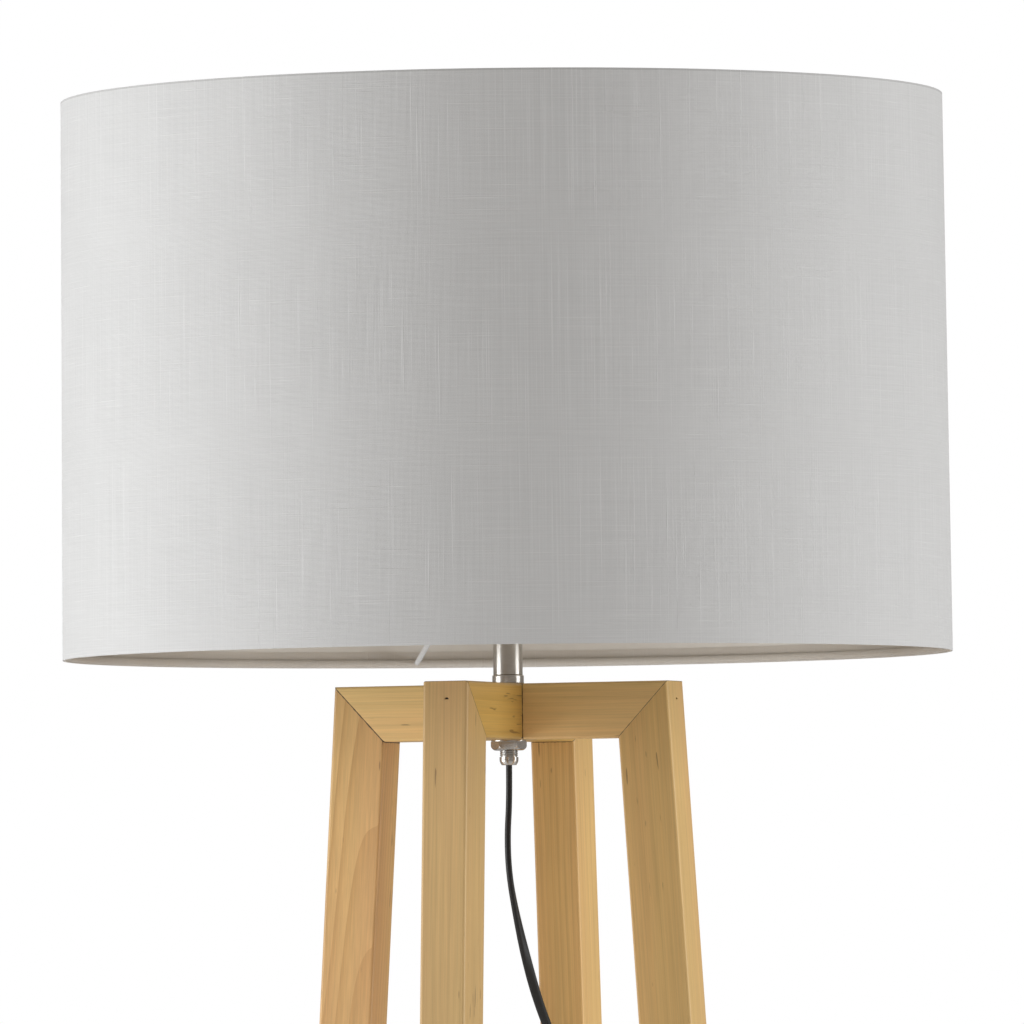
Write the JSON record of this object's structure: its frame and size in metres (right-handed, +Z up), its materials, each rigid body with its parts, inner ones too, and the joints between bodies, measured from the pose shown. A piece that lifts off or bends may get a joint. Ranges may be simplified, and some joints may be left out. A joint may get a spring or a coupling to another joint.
{
  "type": "floor lamp",
  "caption": "Floor lamp: splayed, mitred pine legs meeting in a half-lapped cross, nickel stem, white linen drum shade, flat black flex with foot switch.",
  "frame": {"origin": "on the floor, at the centre of the lamp", "axes": "+Z up along the stem; -Y towards the front leg, +X towards the right leg"},
  "size_m": [0.4849, 0.4855, 1.5753],
  "materials": {
    "pine": "clear satin lacquer",
    "beech": "raw",
    "steel": "bright wire",
    "nylon": "moulded",
    "nickel": "bright nickel plate",
    "black_plastic": "moulded satin",
    "porcelain": "unglazed white",
    "brass": "bright",
    "flex_black": "satin PVC",
    "core_insulation": "satin PVC",
    "linen": "slub weave",
    "liner": "white laminate",
    "white_wire": "white enamel",
    "bulb_opal": "opal",
    "bulb_white": "white moulded",
    "bulb_cap_metal": "bright",
    "bulb_black": "vitreous black"
  },
  "bodies": {
    "frame": {"bottom_washer": "nickel", "centre_contact": "brass", "clip_nails": "steel", "cord_clips": "black_plastic", "end_bushing": "nickel", "flex_coil": "flex_black", "flex_drop": "flex_black", "flex_floor": "flex_black", "flex_leg_run": "flex_black", "flex_link": "flex_black", "flex_tail": "flex_black", "foot_glides": "nylon", "glide_nails": "steel", "hex_nut": "nickel", "holder_cap": "black_plastic", "holder_insert": "porcelain", "holder_shell": "black_plastic", "inner_lead": "flex_black", "lead_cores": "core_insulation", "leg_back": "pine", "leg_front": "pine", "leg_left": "pine", "leg_right": "pine", "mitre_brads": "steel", "mitre_dowels": "beech", "plug_body": "black_plastic", "plug_pins": "brass", "plug_relief": "flex_black", "screw_shell": "brass", "shade_ring_lower": "black_plastic", "shade_ring_upper": "black_plastic", "stem_collar": "nickel", "stem_sleeve": "nickel", "stretcher_dowels": "beech", "stretcher_front_back": "pine", "stretcher_left_right": "pine", "switch_base": "black_plastic", "switch_cover": "black_plastic", "switch_reliefs": "flex_black", "switch_spring": "steel", "terminal_screws": "steel", "threaded_tube": "nickel", "top_beam_front_back": "pine", "top_beam_left_right": "pine"},
    "shade": {"shade_fabric": "linen", "shade_liner": "liner", "shade_hem_lower": "linen", "shade_hem_upper": "linen", "shade_wire_lower": "white_wire", "shade_wire_upper": "white_wire", "shade_hub": "white_wire", "shade_spokes": "white_wire", "shade_seam": "linen"},
    "bulb_lift": {"bulb_contact": "bulb_cap_metal"},
    "bulb": {"bulb_globe": "bulb_opal", "bulb_neck": "bulb_white", "bulb_screw_cap": "bulb_cap_metal", "bulb_insulator": "bulb_black"},
    "foot_button": {"foot_button": "black_plastic"}
  },
  "joints": [
    {"name": "shade_turn", "type": "hinge", "parent": "frame", "child": "shade", "pos_m": [0, 0, 1.3333], "axis": [0, 0, 1], "continuous": true},
    {"name": "bulb_travel", "type": "slide", "parent": "frame", "child": "bulb_lift", "axis": [0, 0, 1], "range_m": [0, 0.0218]},
    {"name": "bulb_turn", "type": "hinge", "parent": "bulb_lift", "child": "bulb", "pos_m": [0, 0, 1.33], "axis": [0, 0, 1], "range_deg": [0, 2160]},
    {"name": "switch_press", "type": "slide", "parent": "frame", "child": "foot_button", "axis": [0, 0, -1], "range_m": [0, 0.003], "stiffness_N_per_m": 1200, "springref_m": -0.001, "deforming": ["switch_spring"]}
  ],
  "couplings": [
    {"joint": "bulb_travel", "follows": "bulb_turn", "m_per_rad": 0.00057757}
  ]
}
